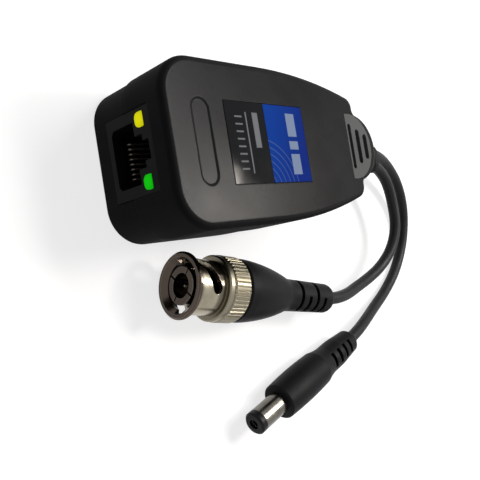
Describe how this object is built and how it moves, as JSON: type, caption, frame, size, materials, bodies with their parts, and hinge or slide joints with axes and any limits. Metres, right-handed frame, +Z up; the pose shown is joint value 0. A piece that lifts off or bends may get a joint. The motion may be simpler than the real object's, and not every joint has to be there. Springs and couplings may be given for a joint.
{
  "type": "cctv video balun",
  "caption": "Passive video and power balun: a black two-shell housing with a modular socket, and two leads with a bayonet video plug and a power barrel plug.",
  "frame": {"origin": "centre of the housing's underside, leads and plugs apart", "axes": "+Z up through the label, -Y out of the socket, +Y out of the strain relief, +X towards the plugs"},
  "size_m": [0.0789, 0.1094, 0.0236],
  "materials": {
    "shell_black": "fine satin texture",
    "trim_grey": "satin",
    "film_black": "glossy printed film",
    "film_blue": "glossy printed film",
    "socket_black": "smooth moulded",
    "contact_gold": "gold flashed wire",
    "window_yellow": "clear tinted, smooth",
    "window_green": "clear tinted, smooth",
    "tinned_steel": "tinned wire",
    "screw_steel": "dark plated",
    "board_green": "glass epoxy with solder mask",
    "ferrite": "sintered",
    "copper_wire": "enamelled",
    "ceramic_white": "glazed",
    "can_aluminium": "sleeved can",
    "resin_yellow": "dipped resin",
    "chip_black": "matt",
    "core_insulation": "smooth",
    "cord_black": "smooth satin",
    "boot_black": "moulded satin",
    "nickel": "nickel plated, turned",
    "dielectric_white": "smooth",
    "gasket_red": "smooth",
    "barrel_black": "smooth"
  },
  "bodies": {
    "balun": {"base_shell": "shell_black", "top_cover": "shell_black", "housing_screws": "screw_steel", "relief_trim": "trim_grey", "label": "film_black", "label_blue_field": "film_blue", "circuit_board": "board_green", "jack_housing": "socket_black", "jack_contact_carrier": "socket_black", "jack_contacts": "contact_gold", "window_yellow": "window_yellow", "window_green": "window_green", "light_leads": "tinned_steel", "toroid_core": "ferrite", "toroid_winding": "copper_wire", "surge_arresters": "ceramic_white", "chip_resistors": "chip_black", "filter_capacitor": "can_aluminium", "resettable_fuse": "resin_yellow", "lead_cores": "core_insulation", "cord_grommet": "boot_black", "video_lead": "cord_black", "power_lead": "cord_black", "plug_body": "nickel", "plug_dielectric": "dielectric_white", "plug_pin": "contact_gold", "plug_gasket": "gasket_red", "wave_washer": "nickel", "crimp_sleeve": "nickel", "video_boot": "boot_black", "barrel_sleeve": "nickel", "barrel_insulator": "barrel_black", "barrel_centre_contact": "nickel", "power_boot": "boot_black"},
    "nut_carriage": {"thrust_washer": "nickel"},
    "nut": {"coupling_nut": "nickel"}
  },
  "joints": [
    {"name": "nut_float", "type": "slide", "parent": "balun", "child": "nut_carriage", "axis": [-0.2164, -0.9763, 0], "range_m": [0, 0.0007], "stiffness_N_per_m": 3000, "springref_m": -0.0004},
    {"name": "nut_turn", "type": "hinge", "parent": "nut_carriage", "child": "nut", "pos_m": [0.02727, -0.01672, 0.00735], "axis": [-0.2164, -0.9763, 0], "continuous": true}
  ]
}
